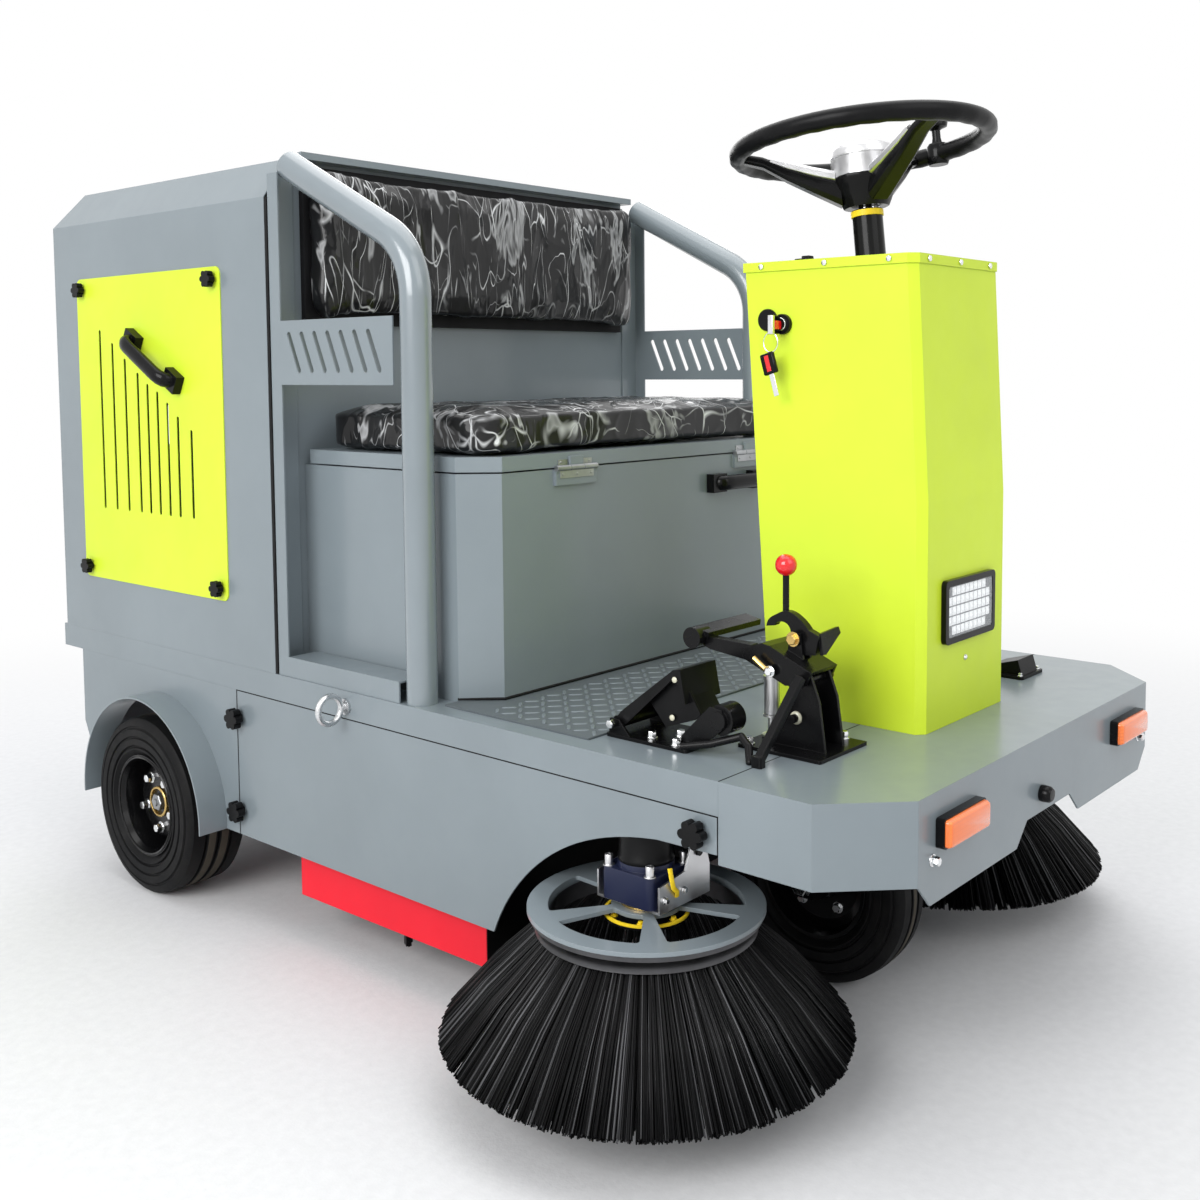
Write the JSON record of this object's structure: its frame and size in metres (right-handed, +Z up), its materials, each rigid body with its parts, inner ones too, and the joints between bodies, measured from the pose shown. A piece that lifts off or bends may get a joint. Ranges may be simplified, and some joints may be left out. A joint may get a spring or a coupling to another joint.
{
  "type": "ride-on floor sweeper",
  "caption": "Battery ride-on sweeper with an open bench seat, boxed rear hood, steering console, tilting side brushes and a cylindrical main brush.",
  "frame": {"origin": "on the floor, under the middle of the machine's overall box", "axes": "+Z up, +Y towards the rear (the machine faces -Y), +X towards its own left"},
  "size_m": [1.436, 1.939, 1.3762],
  "materials": {
    "body_paint": "satin",
    "lime_paint": "satin",
    "red_paint": "satin",
    "black_paint": "satin",
    "navy_paint": "satin",
    "zinc": "satin",
    "tyre": "matte",
    "black_plastic": "satin",
    "cushion": "gloss",
    "amber_lens": "gloss",
    "lamp_lens": "gloss",
    "bristle": "matte",
    "red_plastic": "gloss"
  },
  "bodies": {
    "chassis": {"nose_deck": "body_paint", "main_deck": "body_paint", "underframe": "black_paint", "rear_sides": "body_paint", "fenders": "body_paint", "rear_panel": "body_paint", "skirt_doors": "body_paint", "star_knobs": "black_plastic", "tie_eyes": "zinc", "rear_axle": "black_paint", "hood_shell": "body_paint", "rear_cover": "body_paint", "louvre_panels": "lime_paint", "grab_handles": "black_plastic", "seat_box": "body_paint", "battery_pack": "black_plastic", "back_board": "black_paint", "back_cushion": "cushion", "bulkhead": "body_paint", "top_bar": "body_paint", "hoops": "body_paint", "side_frames": "body_paint", "console": "lime_paint", "console_cap": "lime_paint", "steering_column": "black_paint", "headlight": "lamp_lens", "marker_lamps": "amber_lens", "key_switch": "black_plastic", "tread_mat": "body_paint", "accelerator_base": "black_paint", "accelerator_treadle": "black_plastic", "brake_tower": "black_paint", "brake_pedal": "black_paint", "park_lever": "black_paint", "lever_ball": "red_plastic", "brake_cylinder": "zinc", "foot_switch": "black_plastic", "arm_brackets": "black_paint", "brush_housing": "red_paint"},
    "seat_lid": {"seat_lid": "body_paint", "seat_cushion": "cushion"},
    "fork": {"front_fork": "black_paint"},
    "front_wheel": {"front_tyre": "tyre", "front_rim": "black_paint"},
    "rear_wheel_right": {"rear_tyre_right": "tyre", "rear_rim_right": "black_paint"},
    "rear_wheel_left": {"rear_tyre_left": "tyre", "rear_rim_left": "black_paint"},
    "steering_wheel": {"steering_wheel": "black_plastic"},
    "main_brush": {"main_brush": "bristle"},
    "arm_right": {"brush_arm_right": "black_paint"},
    "head_right": {"brush_bracket_right": "zinc", "brush_drive_right": "navy_paint"},
    "side_brush_right": {"brush_disc_right": "body_paint", "side_bristles_right": "bristle"},
    "arm_left": {"brush_arm_left": "black_paint"},
    "head_left": {"brush_bracket_left": "zinc", "brush_drive_left": "navy_paint"},
    "side_brush_left": {"brush_disc_left": "body_paint", "side_bristles_left": "bristle"}
  },
  "joints": [
    {"name": "rear_wheel_right_spin", "type": "hinge", "parent": "chassis", "child": "rear_wheel_right", "pos_m": [-0.464, 0.582, 0.166], "axis": [1, 0, 0], "continuous": true},
    {"name": "rear_wheel_left_spin", "type": "hinge", "parent": "chassis", "child": "rear_wheel_left", "pos_m": [0.464, 0.582, 0.166], "axis": [1, 0, 0], "continuous": true},
    {"name": "fork_steer", "type": "hinge", "parent": "chassis", "child": "fork", "pos_m": [0, -0.582, 0.4], "axis": [0, 0, 1], "range_deg": [-50, 50]},
    {"name": "front_wheel_spin", "type": "hinge", "parent": "fork", "child": "front_wheel", "pos_m": [0, -0.582, 0.166], "axis": [1, 0, 0], "continuous": true},
    {"name": "steering_wheel_turn", "type": "hinge", "parent": "chassis", "child": "steering_wheel", "pos_m": [0, -0.645, 1.315], "axis": [0, 0.1045, 0.9945], "range_deg": [-300, 300]},
    {"name": "main_brush_spin", "type": "hinge", "parent": "chassis", "child": "main_brush", "pos_m": [0, -0.062, 0.168], "axis": [1, 0, 0], "continuous": true},
    {"name": "seat_lid_hinge", "type": "hinge", "parent": "chassis", "child": "seat_lid", "pos_m": [0, -0.236, 0.81925], "axis": [1, 0, 0], "range_deg": [0, 72]},
    {"name": "arm_right_lower", "type": "hinge", "parent": "chassis", "child": "arm_right", "pos_m": [-0.232, -0.57, 0.372], "axis": [0, -1, 0], "range_deg": [0, 29]},
    {"name": "head_right_level", "type": "hinge", "parent": "arm_right", "child": "head_right", "pos_m": [-0.385, -0.57, 0.324], "axis": [0, -1, 0], "range_deg": [-29, 0]},
    {"name": "side_brush_right_spin", "type": "hinge", "parent": "head_right", "child": "side_brush_right", "pos_m": [-0.429, -0.57, 0.25], "axis": [0, 0, 1], "continuous": true},
    {"name": "arm_left_lower", "type": "hinge", "parent": "chassis", "child": "arm_left", "pos_m": [0.232, -0.57, 0.372], "axis": [0, 1, 0], "range_deg": [0, 29]},
    {"name": "head_left_level", "type": "hinge", "parent": "arm_left", "child": "head_left", "pos_m": [0.385, -0.57, 0.324], "axis": [0, 1, 0], "range_deg": [-29, 0]},
    {"name": "side_brush_left_spin", "type": "hinge", "parent": "head_left", "child": "side_brush_left", "pos_m": [0.429, -0.57, 0.25], "axis": [0, 0, 1], "continuous": true}
  ],
  "couplings": [
    {"joint": "steering_wheel_turn", "follows": "fork_steer", "ratio": 6},
    {"joint": "head_right_level", "follows": "arm_right_lower", "ratio": -1},
    {"joint": "head_left_level", "follows": "arm_left_lower", "ratio": -1}
  ]
}
